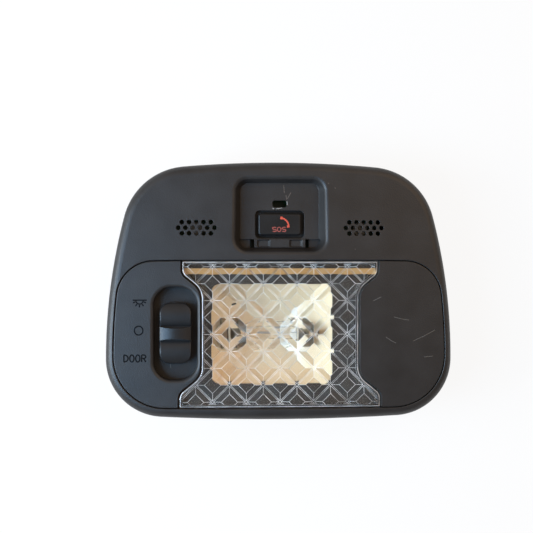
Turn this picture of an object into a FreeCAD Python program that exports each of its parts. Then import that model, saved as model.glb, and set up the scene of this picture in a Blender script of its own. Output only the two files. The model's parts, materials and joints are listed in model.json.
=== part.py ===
"""Overhead courtesy light for a car, with a slide switch and an emergency-call button.

The lamp lies on its back: x to the right and y to the top of the face, z out of the face.
All sizes are in millimetres. The flat back of the housing is at z = 0.
"""
import FreeCAD, Part
import math
import os

V = FreeCAD.Vector

# Bezel, seen from the front
BEZEL_WIDTH = 150.0
TOP_MARGIN = 6.85              # top edge of the bezel to the call recess
RECESS_HEIGHT = 31.95
BRIDGE = 3.7                   # call recess to the lens panel
PANEL_HEIGHT = 63.4
BOTTOM_MARGIN = 5.2            # lens panel to the bottom edge of the bezel
SIDE_MARGIN = 3.6              # lens panel to the side of the bezel, where both are widest
TOP_RADIUS = 480.0
SHOULDER_RADIUS = 28.7
SIDE_RADIUS = 244.0
CORNER_RADIUS = 25.0
BOTTOM_RADIUS = 1080.0
PANEL_EDGE_RADIUS = 6000.0     # the panel's top and bottom are nearly straight
PANEL_SHOULDER_RADIUS = 16.0
PANEL_SIDE_RADIUS = 240.0
PANEL_CORNER_RADIUS = 22.0

# Depth of the whole lamp
HOUSING_DEPTH = 22.0           # back of the housing to the rim that meets the roof lining
FACE_HEIGHT = 14.0             # rim to the middle of the crowned face
CROWN_RADIUS = 1100.0
RIM_ROUNDING = 4.0
WALL = 2.2
PANEL_GAP = 0.35               # between bezel and panel
PANEL_COLLAR = 1.6             # wall of the bezel's collar round the panel
PANEL_WALL = 1.8
PANEL_FLANGE = 1.0             # reach of the flange that keeps the panel behind the collar
PANEL_FLANGE_HEIGHT = 2.0
EDGE_BREAK = 0.35              # small rounding along the gaps
FIT = 0.3                      # play between pieces that slide or drop into each other
TIGHT_FIT = 0.05               # play round pressed-in pins and screws
PAST = 1.0                     # how far a cut runs on past the faces that it opens

# Call recess with its button, hinge bar and catch slot
RECESS_WIDTH = 40.0
RECESS_DEPTH = 6.0             # below the middle of the face
RECESS_SIDE_SLOPE = 2.9        # mouth to floor, seen from the front
RECESS_END_SLOPE = 2.0
RECESS_MOUTH_RADIUS = 6.0
RECESS_FLOOR_RADIUS = 3.5
RECESS_ROUNDING = 1.8
BUTTON_LENGTH = 18.6
BUTTON_WIDTH = 9.3
BUTTON_GAP = 1.4
BUTTON_FROM_RECESS_END = 12.05
BUTTON_PROUD = 0.7             # key above the recess floor
BUTTON_RADIUS = 1.2
BUTTON_ROUNDING = 0.7
BUTTON_HOLE_RADIUS = 2.0
BUTTON_FLANGE = 1.2            # thickness
BUTTON_FLANGE_LAP = 0.6        # flange behind the edge of the hole
BUTTON_STEM_RADIUS = 2.0
PRESS_TRAVEL = 0.8
CATCH_LENGTH = 6.2
CATCH_WIDTH = 3.0
CATCH_RADIUS = 1.0
CATCH_FROM_RECESS_TOP = 11.0
HINGE_BAR_LENGTH = 22.2
HINGE_BAR_WIDTH = 3.6
HINGE_BAR_HEIGHT = 1.0
HINGE_PAD_LENGTH = 5.8
HINGE_PAD_SPACING = 14.0
HINGE_PAD_HEIGHT = 0.7
HINGE_PAD_RADIUS = 0.6
HINGE_PAD_MARGIN = 0.2         # pad inside the edges of the bar
HINGE_NOTCH_LENGTH = 1.7       # slot through the floor at either end of the bar
HINGE_POCKET_LENGTH = 5.2      # shallow pocket beyond each slot
HINGE_POCKET_DEPTH = 1.3

# Microphone grilles
GRILLE_OFFSET = 36.0           # from the middle of the lamp
GRILLE_FROM_RECESS_END = 10.4
GRILLE_HOLE = 2.0
GRILLE_PITCH = 3.1
GRILLE_ROW_PITCH = 2.4
GRILLE_ROWS = (5, 6, 5)
GRILLE_COLLAR_HEIGHT = 2.3
GRILLE_COLLAR_WALL = 1.5
GRILLE_COLLAR_MARGIN = 0.8     # holes to the inside of the collar
MICROPHONE_RADIUS = 3.0
MICROPHONE_HEIGHT = 2.7
BOOT_WALL = 1.3
BOOT_MARGIN = 0.6              # holes to the inside of the rubber boot

# Lens, a spool seen from the front, and its prisms
LENS_TOP_HALF = 41.9
LENS_BOTTOM_HALF = 43.1
LENS_WAIST_HALF = 33.55
LENS_TOP_BAND = 5.1            # height of the straight ends of the upper flange
LENS_BOTTOM_BAND = 5.55
LENS_TOP_FLARE = 6.8           # height of the slope from flange to waist
LENS_BOTTOM_FLARE = 7.65
LENS_FLANGE_RADIUS = 4.0
LENS_WAIST_RADIUS = 8.7
LENS_GAP = 0.9                 # between the sides of the lens and the panel
LENS_EDGE_MARGIN = 0.45        # lens edge inside the panel edge at the top and bottom
LENS_RIM = 0.8                 # wall round the lens
LENS_TUB_WALL = 1.4
LENS_COLLAR_DROP = 0.5         # the bezel's collar ends this far below the lens seat
LENS_SEAT_DEPTH = 7.5          # lens seat below the middle of the face
LENS_PLATE = 4.0               # lens thickness at the middle of the face
PRISM_HALF = 7.27              # half diagonal of a prism cell
PRISM_BAR = 0.4                # half diagonal given up to the bars between cells
PRISM_DEPTH = 1.0
PRISM_FLAT = 3.5               # half diagonal of the flat in the middle of a cell

# Light window, reflector and bulb
WINDOW_WIDTH = 52.6
WINDOW_HEIGHT = 43.1
WINDOW_SHIFT = -3.2            # window and bowl lie left of the middle
WINDOW_RADIUS = 3.5
SEAT_FLOOR = 1.6
REFLECTOR_WALL = 1.2
REFLECTOR_FLOOR_Z = 6.0        # lowest place inside the bowl
REFLECTOR_LIP = 1.5            # upright stretch of the bowl's wall below the window
REFLECTOR_FLANGE = 3.0
REFLECTOR_FOOT_RADIUS = 2.0
BULB_LENGTH = 37.2
BULB_RADIUS = 5.2
BULB_Z = 18.0
BULB_GLASS = 0.6
BULB_NECK = 1.6                # the glass narrows by this towards the caps
BULB_NECK_LENGTH = 4.0
CAP_RADIUS = 4.2
CAP_LENGTH = 6.6
CAP_TAPER = 2.6
CAP_TIP_RADIUS = 1.4
FILAMENT_RADIUS = 0.15
COIL_RADIUS = 0.45
STRIP = 0.8                    # thickness of the stamped contacts
CONTACT_WIDTH = 8.0
CONTACT_RISE = 1.5             # contact above the cap
CONTACT_BITE = 0.1             # the cap's tip stands out of the contact's eye by this
CONTACT_EYE_RADIUS = 2.3
CONTACT_FOOT_WIDTH = 6.0
CONTACT_FOOT_MARGIN = 4.0      # foot to the wall of the lamp tray

# Slide switch
WELL_WIDTH = 18.6
WELL_LENGTH = 40.0
WELL_RADIUS = 8.0
WELL_RISE = 0.45               # middle of the well above the middle of the lens
WELL_DEPTH = 8.0               # below the middle of the face
WELL_WALL = 1.4
WELL_FROM_LENS = 2.1           # well to the waist of the lens
WELL_ROUNDING = 1.5
KNOB_WIDTH = 13.8
KNOB_LENGTH = 26.2
KNOB_RADIUS = 4.6
KNOB_HEIGHT = 7.2              # to the top of the ridge
KNOB_END_HEIGHT = 3.2
KNOB_LOBE_HEIGHT = 4.9
KNOB_VALLEY_HEIGHT = 3.7       # where a lobe meets the ridge
KNOB_CROWN_RADIUS = 16.0       # from side to side
KNOB_ROUNDING = 0.7
RIDGE_WIDTH = 6.0
RIDGE_WAIST = 0.8              # taken out of either side of the ridge at its middle
SWITCH_TRAVEL = 5.0            # to either side of the middle position
STEM = 4.0
CARRIER_WIDTH = 10.0
CARRIER_LENGTH = 12.0
CARRIER_HEIGHT = 4.5
CARRIER_LIP = 1.5              # carrier beside the contact bridge and the pads
BRIDGE_THICKNESS = 0.5
BRIDGE_LAP = 1.6               # the bridge is longer than one step of the switch by this
TERMINAL_THICKNESS = 0.6
TERMINAL_WIDTH = 2.0
TERMINAL_TAIL = 5.0
SWITCH_BASE_RADIUS = 1.5

# Housing, circuit board and fixings
PLATE = 2.0
TRAY_WALL = 1.8
TRAY_CLEARANCE = 0.85          # switch base to the wall of the lamp tray
LAMP_TRAY_BOTTOM_MARGIN = 4.0  # lamp tray inside the edges of the panel
LAMP_TRAY_TOP_MARGIN = 2.0
CALL_TRAY_DEPTH = 7.0          # behind the rim
CALL_TRAY_BOTTOM_MARGIN = 2.5  # call tray above the panel
CALL_TRAY_TOP_MARGIN = 4.1     # call tray below the top of the recess
TRAY_RADIUS = 4.0
BOARD = 1.6
BOARD_RADIUS = 2.0
BOARD_END_MARGIN = 1.5         # grille to the end of the board
BOARD_MARGIN = 1.2
BOARD_STANDOFF = 1.8
POST_RADIUS = 2.2
POST_INSET = 3.0
SCREW_RADIUS = 1.5
SCREW_HEAD_RADIUS = 2.8
SCREW_HEAD_HEIGHT = 1.8
SCREW_LENGTH = 8.0
SCREW_TIP_GAP = 0.5
BOSS_RADIUS = 3.2
SIDE_BOSS_OFFSET = 8.3         # from the end of the call tray
SIDE_BOSS_RISE = 6.5           # above the bottom of the call tray
TOP_BOSS_OFFSET = 14.0         # from the side of the recess
TOP_BOSS_RISE = 3.2            # above the call tray
PANEL_BOSS_SHIFT = 1.7         # inwards from halfway between lamp tray and panel edge
PANEL_BOSS_RISE = 12.5         # above the bottom of the panel
PIN_RADIUS = 1.8
PIN_LENGTH = 9.0
PIN_RISE = 0.3                 # upper pin above halfway between call tray and rim
VENT_COUNT = 5                 # slots in the tray floor that cool the bulb
VENT_WIDTH = 1.8
VENT_LENGTH = 24.0
VENT_PITCH = 4.0
RIB = 1.5                      # stiffening ribs between tray walls and plate
RIB_DEPTH = 6.0
RIB_REACH = 5.0
RIB_SPACING = 28.0
BLADE_LENGTH = 13.0
BLADE_WIDTH = 10.0
BLADE = 2.4
BLADE_OFFSET = 7.0             # from the side of the lamp tray
CLIP_STEEL = 0.6
CLIP_MARGIN = 1.0              # clip inside either edge of the blade
CLIP_LEG_GAP = 3.0             # end of a leg behind the rim
BARB_DROP = 5.5                # tip of a barb behind the rim
BARB_REACH = 2.6
BARB_RISE = 1.5                # start of a barb above the tip of the blade
LEG_SPREAD = 0.3
SOCKET_LENGTH = 22.0
SOCKET_WIDTH = 11.0
SOCKET_WALL = 1.3
SOCKET_RADIUS = 1.0
SOCKET_INNER_RADIUS = 0.5
SOCKET_FLOOR = 1.6
SOCKET_DEPTH = 11.4            # below the board
SOCKET_OFFSET = 10.0           # from the middle of the lamp
SOCKET_PINS = 6
SOCKET_PIN_MARGIN = 2.0
SOCKET_PIN_RECESS = 4.4        # tips of the pins inside the mouth
PIN_THICKNESS = 0.7
LATCH_WIDTH = 6.0
LATCH_DEPTH = 3.0
CALL_SWITCH_SIZE = 6.2
CALL_SWITCH_HEIGHT = 3.5
PLUNGER_RADIUS = 1.7
PLUNGER_PROUD = 0.5            # above the call switch when it is pressed
PLUNGER_HOLD = 0.5             # inside the call switch when it is released
PLUNGER_CLEARANCE = 0.4
INDICATOR_WIDTH = 1.6
INDICATOR_LENGTH = 3.0
INDICATOR_HEIGHT = 1.1
INDICATOR_INSET = 2.5          # from the end of the call key

# Sizes that follow from the ones above
BEZEL_HEIGHT = TOP_MARGIN + RECESS_HEIGHT + BRIDGE + PANEL_HEIGHT + BOTTOM_MARGIN
TOP_Y = BEZEL_HEIGHT / 2
BOTTOM_Y = -BEZEL_HEIGHT / 2
PANEL_BOTTOM_Y = BOTTOM_Y + BOTTOM_MARGIN
PANEL_TOP_Y = PANEL_BOTTOM_Y + PANEL_HEIGHT
PANEL_HALF = BEZEL_WIDTH / 2 - SIDE_MARGIN
RIM_Z = HOUSING_DEPTH
FACE_Z = RIM_Z + FACE_HEIGHT
PLATE_TOP = RIM_Z + PLATE

RECESS_BOTTOM_Y = PANEL_TOP_Y + BRIDGE
RECESS_TOP_Y = RECESS_BOTTOM_Y + RECESS_HEIGHT
RECESS_MID_Y = (RECESS_BOTTOM_Y + RECESS_TOP_Y) / 2
RECESS_FLOOR_Z = FACE_Z - RECESS_DEPTH
RECESS_FLOOR_HALF = RECESS_WIDTH / 2 - RECESS_SIDE_SLOPE
BUTTON_Y = RECESS_BOTTOM_Y + BUTTON_FROM_RECESS_END
BUTTON_TOP_Z = RECESS_FLOOR_Z + BUTTON_PROUD
BUTTON_FLANGE_Z = RECESS_FLOOR_Z - WALL - FIT
GRILLE_Y = RECESS_BOTTOM_Y + GRILLE_FROM_RECESS_END
GRILLE_LENGTH = (max(GRILLE_ROWS) - 1) * GRILLE_PITCH + GRILLE_HOLE
GRILLE_HEIGHT = (len(GRILLE_ROWS) - 1) * GRILLE_ROW_PITCH + GRILLE_HOLE
GRILLE_SEAT_Z = FACE_Z - WALL - GRILLE_COLLAR_HEIGHT

LENS_TOP_Y = PANEL_TOP_Y - LENS_EDGE_MARGIN
LENS_BOTTOM_Y = PANEL_BOTTOM_Y + LENS_EDGE_MARGIN
LENS_MID_Y = (LENS_TOP_Y + LENS_BOTTOM_Y) / 2
LENS_SEAT_Z = FACE_Z - LENS_SEAT_DEPTH
LENS_BACK_Z = FACE_Z - LENS_PLATE
COLLAR_Z = LENS_SEAT_Z - LENS_COLLAR_DROP
WINDOW_Z = LENS_SEAT_Z - SEAT_FLOOR
BULB_X = WINDOW_SHIFT
CONTACT_REACH = BULB_LENGTH / 2 - STRIP / 2 + CONTACT_BITE
CONTACT_TOP = BULB_Z + CAP_RADIUS + CONTACT_RISE

WELL_Y = LENS_MID_Y + WELL_RISE
WELL_X = -(LENS_WAIST_HALF + WELL_FROM_LENS + WELL_WIDTH / 2)
WELL_FLOOR_Z = FACE_Z - WELL_DEPTH
WELL_BACK_Z = WELL_FLOOR_Z - WELL_WALL
CARRIER_TOP = WELL_BACK_Z - FIT
CARRIER_BOTTOM = CARRIER_TOP - CARRIER_HEIGHT
TERMINAL_TOP = CARRIER_BOTTOM - BRIDGE_THICKNESS - FIT
SWITCH_BASE_Z = TERMINAL_TOP - TERMINAL_THICKNESS
SWITCH_SPACE_WIDTH = CARRIER_WIDTH + 2 * FIT
SWITCH_SPACE_LENGTH = CARRIER_LENGTH + 2 * SWITCH_TRAVEL + 2 * FIT
SWITCH_BASE_HALF = SWITCH_SPACE_WIDTH / 2 + WELL_WALL

LAMP_TRAY_HALF = SWITCH_BASE_HALF - WELL_X + TRAY_CLEARANCE + TRAY_WALL
LAMP_TRAY_BOTTOM_Y = PANEL_BOTTOM_Y + LAMP_TRAY_BOTTOM_MARGIN
LAMP_TRAY_TOP_Y = PANEL_TOP_Y - LAMP_TRAY_TOP_MARGIN
BOARD_HALF = GRILLE_OFFSET + GRILLE_LENGTH / 2 + BOARD_END_MARGIN
CALL_TRAY_HALF = BOARD_HALF + BOARD_MARGIN + TRAY_WALL
CALL_TRAY_BOTTOM_Y = PANEL_TOP_Y + CALL_TRAY_BOTTOM_MARGIN
CALL_TRAY_TOP_Y = RECESS_TOP_Y - CALL_TRAY_TOP_MARGIN
CALL_TRAY_Z = RIM_Z - CALL_TRAY_DEPTH
BOARD_BOTTOM = CALL_TRAY_Z + TRAY_WALL + BOARD_STANDOFF
BOARD_TOP = BOARD_BOTTOM + BOARD
BOARD_BOTTOM_Y = CALL_TRAY_BOTTOM_Y + TRAY_WALL + BOARD_MARGIN
BOARD_TOP_Y = CALL_TRAY_TOP_Y - TRAY_WALL - BOARD_MARGIN
BOARD_MID_Y = (BOARD_BOTTOM_Y + BOARD_TOP_Y) / 2
CALL_SWITCH_TOP = BOARD_TOP + CALL_SWITCH_HEIGHT
PLUNGER_TOP = CALL_SWITCH_TOP + PRESS_TRAVEL + PLUNGER_PROUD
SOCKET_X = -SOCKET_LENGTH / 2 - SOCKET_OFFSET
SOCKET_MOUTH_Z = BOARD_BOTTOM - SOCKET_DEPTH
BLADE_X = LAMP_TRAY_HALF + BLADE_OFFSET
SIDE_BOSS = (CALL_TRAY_HALF + SIDE_BOSS_OFFSET, CALL_TRAY_BOTTOM_Y + SIDE_BOSS_RISE)
TOP_BOSS = (RECESS_WIDTH / 2 + TOP_BOSS_OFFSET, CALL_TRAY_TOP_Y + TOP_BOSS_RISE)
PANEL_BOSS = ((LAMP_TRAY_HALF + PANEL_HALF) / 2 - PANEL_BOSS_SHIFT, PANEL_BOTTOM_Y + PANEL_BOSS_RISE)


def box(x0, x1, y0, y1, z0, z1):
    return Part.makeBox(x1 - x0, y1 - y0, z1 - z0, V(x0, y0, z0))


def block(x, y, width, height, z0, z1):
    """Box centred on x and y."""
    return box(x - width / 2, x + width / 2, y - height / 2, y + height / 2, z0, z1)


def cylinder(x, y, radius, z0, z1):
    return Part.makeCylinder(radius, z1 - z0, V(x, y, z0))


def prism(wire, z0, z1):
    """Solid between two heights over a closed outline drawn at z = 0."""
    face = Part.Face(wire)
    face.translate(V(0, 0, z0))
    return face.extrude(V(0, 0, z1 - z0))


def one_solid(shape):
    return shape.removeSplitter().Solids[0]


def both_sides(shape):
    """The shape and its mirror image across the middle of the lamp."""
    return [shape, shape.mirror(V(0, 0, 0), V(1, 0, 0))]


def rounded_polygon(points, radii):
    """Closed outline through the points, each corner rounded by its own radius (0 keeps it sharp)."""
    count = len(points)
    starts = []
    ends = []
    middles = []
    for i in range(count):
        corner = V(*points[i])
        before = (V(*points[i - 1]) - corner).normalize()
        after = (V(*points[(i + 1) % count]) - corner).normalize()
        half_angle = before.getAngle(after) / 2
        reach = radii[i] / math.tan(half_angle)
        starts.append(corner + before * reach)
        ends.append(corner + after * reach)
        bisector = (before + after).normalize()
        middles.append(corner + bisector * (radii[i] / math.sin(half_angle) - radii[i]))
    edges = []
    for i in range(count):
        if radii[i] > 0:
            edges.append(Part.Arc(starts[i], middles[i], ends[i]).toShape())
        following = starts[(i + 1) % count]
        if (following - ends[i]).Length > 1e-6:
            edges.append(Part.LineSegment(ends[i], following).toShape())
    return Part.Wire(edges)


def rounded_rect(x, y, width, height, radius):
    right = x + width / 2
    left = x - width / 2
    top = y + height / 2
    bottom = y - height / 2
    corners = [(right, top), (left, top), (left, bottom), (right, bottom)]
    return rounded_polygon(corners, [radius] * 4)


def rounded_block(x, y, width, height, radius, z0, z1):
    return prism(rounded_rect(x, y, width, height, radius), z0, z1)


def tapered_block(lower, upper, z0, z1):
    """Solid that runs from the lower outline at z0 to the upper one at z1."""
    lower.translate(V(0, 0, z0))
    upper.translate(V(0, 0, z1))
    return Part.makeLoft([lower, upper], True, True)


def arc(centre, radius, start, end):
    """Arc of less than half a turn round a centre, in the xy plane."""
    middle = ((start - centre).normalize() + (end - centre).normalize()).normalize()
    return Part.Arc(start, centre + middle * radius, end).toShape()


def arc_outline(half_width, top, bottom, top_r, shoulder_r, side_r, corner_r, bottom_r):
    """Closed outline of eight tangent arcs, the same on the left and the right."""
    corner_sine = (half_width - corner_r) / (bottom_r - corner_r)
    corner_cosine = math.sqrt(1 - corner_sine ** 2)
    widest_y = bottom + bottom_r - (bottom_r - corner_r) * corner_cosine
    top_centre = V(0, top - top_r)
    side_centre = V(half_width - side_r, widest_y)
    corner_centre = V(half_width - corner_r, widest_y)
    bottom_centre = V(0, bottom + bottom_r)

    # The shoulder's centre lies a fixed distance from the top arc's centre and from the side arc's.
    from_top = top_r - shoulder_r
    from_side = side_r - shoulder_r
    between = side_centre - top_centre
    along = (from_top ** 2 - from_side ** 2 + between.Length ** 2) / (2 * between.Length)
    across = math.sqrt(from_top ** 2 - along ** 2)
    towards = V(between.x, between.y).normalize()
    outward = V(towards.y, -towards.x)
    candidates = []
    for sign in (1, -1):
        candidates.append(top_centre + towards * along + outward * (across * sign))
    shoulder_centre = max(candidates, key=lambda point: point.y)

    joints = [
        shoulder_centre + (shoulder_centre - top_centre).normalize() * shoulder_r,
        shoulder_centre + (shoulder_centre - side_centre).normalize() * shoulder_r,
        V(half_width, widest_y),
        corner_centre + (corner_centre - bottom_centre).normalize() * corner_r,
    ]
    mirrored = [V(-point.x, point.y) for point in joints]
    right_arcs = [(shoulder_centre, shoulder_r), (side_centre, side_r), (corner_centre, corner_r)]
    edges = [arc(top_centre, top_r, mirrored[0], joints[0])]
    for i, (centre, radius) in enumerate(right_arcs):
        edges.append(arc(centre, radius, joints[i], joints[i + 1]))
    edges.append(arc(bottom_centre, bottom_r, joints[3], mirrored[3]))
    for i in (2, 1, 0):
        centre, radius = right_arcs[i]
        edges.append(arc(V(-centre.x, centre.y), radius, mirrored[i + 1], mirrored[i]))
    return Part.Wire(edges)


def bezel_outline(inset):
    return arc_outline(
        BEZEL_WIDTH / 2 - inset, TOP_Y - inset, BOTTOM_Y + inset,
        TOP_RADIUS - inset, SHOULDER_RADIUS - inset, SIDE_RADIUS - inset,
        CORNER_RADIUS - inset, BOTTOM_RADIUS - inset)


def panel_outline(inset):
    return arc_outline(
        PANEL_HALF - inset, PANEL_TOP_Y - inset, PANEL_BOTTOM_Y + inset,
        PANEL_EDGE_RADIUS - inset, PANEL_SHOULDER_RADIUS - inset, PANEL_SIDE_RADIUS - inset,
        PANEL_CORNER_RADIUS - inset, PANEL_EDGE_RADIUS - inset)


def lens_outline(inset, end_inset):
    """The spool, narrowed by an inset along its sides and by another at its top and bottom."""
    top_flare_y = LENS_TOP_Y - LENS_TOP_BAND
    waist_top_y = top_flare_y - LENS_TOP_FLARE
    bottom_flare_y = LENS_BOTTOM_Y + LENS_BOTTOM_BAND
    waist_bottom_y = bottom_flare_y + LENS_BOTTOM_FLARE
    top_run = LENS_TOP_HALF - LENS_WAIST_HALF
    bottom_run = LENS_BOTTOM_HALF - LENS_WAIST_HALF
    # Moving a side inwards slides the ends of the slopes along by this share of the inset.
    top_share = math.tan(math.atan2(top_run, LENS_TOP_FLARE) / 2)
    bottom_share = math.tan(math.atan2(bottom_run, LENS_BOTTOM_FLARE) / 2)
    right = [
        (LENS_TOP_HALF - inset, LENS_TOP_Y - end_inset),
        (LENS_TOP_HALF - inset, top_flare_y + inset * top_share),
        (LENS_WAIST_HALF - inset, waist_top_y + inset * top_share),
        (LENS_WAIST_HALF - inset, waist_bottom_y - inset * bottom_share),
        (LENS_BOTTOM_HALF - inset, bottom_flare_y - inset * bottom_share),
        (LENS_BOTTOM_HALF - inset, LENS_BOTTOM_Y + end_inset),
    ]
    flange = LENS_FLANGE_RADIUS - inset
    waist = LENS_WAIST_RADIUS + inset
    radii = [0, flange, waist, waist, flange, 0]
    left = [(-x, y) for x, y in reversed(right)]
    return rounded_polygon(right + left, radii + radii[::-1])


def crown(depth):
    """Ball whose top is the crowned face, or a surface that far below it."""
    centre = V(0, 0, FACE_Z - CROWN_RADIUS)
    ball = Part.makeSphere(CROWN_RADIUS - depth, centre, V(0, 1, 0))
    # The ball's seam is turned away from the face.
    ball.rotate(centre, V(0, 1, 0), 180)
    return ball


def upper_edges(shape, outline, lowest=RECESS_FLOOR_Z + PAST):
    """Edges above a height that run along the given outline, seen from the front."""
    found = []
    for edge in shape.Edges:
        bounds = edge.BoundBox
        upright = bounds.ZLength >= edge.Length / 2
        if upright or bounds.ZMin < lowest:
            continue
        middle = edge.valueAt((edge.FirstParameter + edge.LastParameter) / 2)
        if outline.distToShape(Part.Vertex(middle.x, middle.y, 0))[0] < TIGHT_FIT:
            found.append(edge)
    return found


def stadium(x, y, length, height, z0, z1):
    """Block with round ends; a sliver of straight end keeps the two arcs apart."""
    sliver = 0.01
    return rounded_block(x, y, length, height, height / 2 - sliver, z0, z1)


def grille_stadium(x, margin, z0, z1):
    """Block round one grille, that far outside its holes."""
    return stadium(x, GRILLE_Y, GRILLE_LENGTH + 2 * margin, GRILLE_HEIGHT + 2 * margin, z0, z1)


def grille_holes():
    holes = []
    for row, count in enumerate(GRILLE_ROWS):
        y = GRILLE_Y + (row - (len(GRILLE_ROWS) - 1) / 2) * GRILLE_ROW_PITCH
        for i in range(count):
            x = GRILLE_OFFSET + (i - (count - 1) / 2) * GRILLE_PITCH
            holes += both_sides(cylinder(x, y, GRILLE_HOLE / 2, GRILLE_SEAT_Z - PAST, FACE_Z + PAST))
    return holes


def recess_mouth(grow):
    width = RECESS_WIDTH + 2 * grow
    height = RECESS_HEIGHT + 2 * grow
    return rounded_rect(0, RECESS_MID_Y, width, height, RECESS_MOUTH_RADIUS + grow)


def recess_floor(grow):
    width = 2 * RECESS_FLOOR_HALF + 2 * grow
    height = RECESS_HEIGHT - 2 * RECESS_END_SLOPE + 2 * grow
    return rounded_rect(0, RECESS_MID_Y, width, height, RECESS_FLOOR_RADIUS + grow)


def is_recess_mouth(edge):
    """Whether an edge lies on the face, round the mouth of the call recess."""
    bounds = edge.BoundBox
    near_x = abs(bounds.Center.x) < RECESS_WIDTH / 2 + PAST
    near_y = abs(bounds.Center.y - RECESS_MID_Y) < RECESS_HEIGHT / 2 + PAST
    return near_x and near_y and bounds.ZMin > FACE_Z - RECESS_DEPTH / 2


def bezel_blank():
    """The crowned outside of the bezel, with the opening for the panel and the call recess."""
    blank = prism(bezel_outline(0), RIM_Z, FACE_Z + PAST).common(crown(0))
    blank = blank.makeFillet(RIM_ROUNDING, upper_edges(blank, bezel_outline(0)))
    opening = panel_outline(-PANEL_GAP)
    blank = blank.cut(prism(opening, RIM_Z - PAST, FACE_Z + PAST))
    blank = blank.makeFillet(EDGE_BREAK, upper_edges(blank, opening))
    blank = blank.cut(tapered_block(recess_floor(0), recess_mouth(0), RECESS_FLOOR_Z, FACE_Z))
    return blank.makeFillet(RECESS_ROUNDING, [edge for edge in blank.Edges if is_recess_mouth(edge)])


def bezel_inside():
    """The space behind the face, less the walls and bosses that stand in it."""
    inside = prism(bezel_outline(WALL), RIM_Z - PAST, FACE_Z).common(crown(WALL))
    collar = prism(panel_outline(-PANEL_GAP - PANEL_COLLAR), COLLAR_Z, FACE_Z)
    tub = tapered_block(recess_floor(WALL), recess_mouth(WALL), RECESS_FLOOR_Z - WALL, FACE_Z)
    kept = [collar, tub]
    for x, y in (SIDE_BOSS, TOP_BOSS):
        kept += both_sides(cylinder(x, y, BOSS_RADIUS, PLATE_TOP, FACE_Z))
    margin = GRILLE_COLLAR_MARGIN
    grille_collar = grille_stadium(GRILLE_OFFSET, margin + GRILLE_COLLAR_WALL, GRILLE_SEAT_Z, FACE_Z)
    grille_collar = grille_collar.cut(grille_stadium(GRILLE_OFFSET, margin, GRILLE_SEAT_Z, FACE_Z))
    kept += both_sides(grille_collar)
    return inside.cut(kept)


def screw_hole(place, play, z0, z1):
    x, y = place
    return both_sides(cylinder(x, y, SCREW_RADIUS + play, z0, z1))


def bezel():
    shell = bezel_blank().cut(bezel_inside())
    cuts = grille_holes()
    for place in (SIDE_BOSS, TOP_BOSS):
        cuts += screw_hole(place, TIGHT_FIT, PLATE_TOP - PAST, RIM_Z + SCREW_LENGTH)

    below = RECESS_FLOOR_Z - WALL - PAST
    above = RECESS_FLOOR_Z + PAST
    hole_length = BUTTON_LENGTH + 2 * BUTTON_GAP
    hole_width = BUTTON_WIDTH + 2 * BUTTON_GAP
    cuts.append(rounded_block(0, BUTTON_Y, hole_length, hole_width, BUTTON_HOLE_RADIUS, below, above))
    catch_y = RECESS_TOP_Y - CATCH_FROM_RECESS_TOP
    cuts.append(rounded_block(0, catch_y, CATCH_LENGTH, CATCH_WIDTH, CATCH_RADIUS, below, above))

    bar_y = RECESS_BOTTOM_Y + RECESS_END_SLOPE + HINGE_BAR_WIDTH / 2
    notch_x = HINGE_BAR_LENGTH / 2 + HINGE_NOTCH_LENGTH / 2
    cuts += both_sides(block(notch_x, bar_y, HINGE_NOTCH_LENGTH, HINGE_BAR_WIDTH, below, above))
    pocket_x = notch_x + HINGE_NOTCH_LENGTH / 2 + HINGE_POCKET_LENGTH / 2
    pocket_z = RECESS_FLOOR_Z - HINGE_POCKET_DEPTH
    cuts += both_sides(block(pocket_x, bar_y, HINGE_POCKET_LENGTH, HINGE_BAR_WIDTH, pocket_z, above))
    shell = shell.cut(cuts)

    bar_top = RECESS_FLOOR_Z + HINGE_BAR_HEIGHT
    bar = block(0, bar_y, HINGE_BAR_LENGTH, HINGE_BAR_WIDTH, RECESS_FLOOR_Z - WALL / 2, bar_top)
    pad_width = HINGE_BAR_WIDTH - 2 * HINGE_PAD_MARGIN
    pad = rounded_block(
        HINGE_PAD_SPACING / 2, bar_y, HINGE_PAD_LENGTH, pad_width, HINGE_PAD_RADIUS,
        RECESS_FLOOR_Z, bar_top + HINGE_PAD_HEIGHT)
    return one_solid(shell.fuse([bar] + both_sides(pad)))


def well_outline(grow):
    return rounded_rect(WELL_X, WELL_Y, WELL_WIDTH + 2 * grow, WELL_LENGTH + 2 * grow, WELL_RADIUS + grow)


def window_outline(grow):
    radius = WINDOW_RADIUS + max(0, grow)
    return rounded_rect(WINDOW_SHIFT, LENS_MID_Y, WINDOW_WIDTH + 2 * grow, WINDOW_HEIGHT + 2 * grow, radius)


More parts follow.
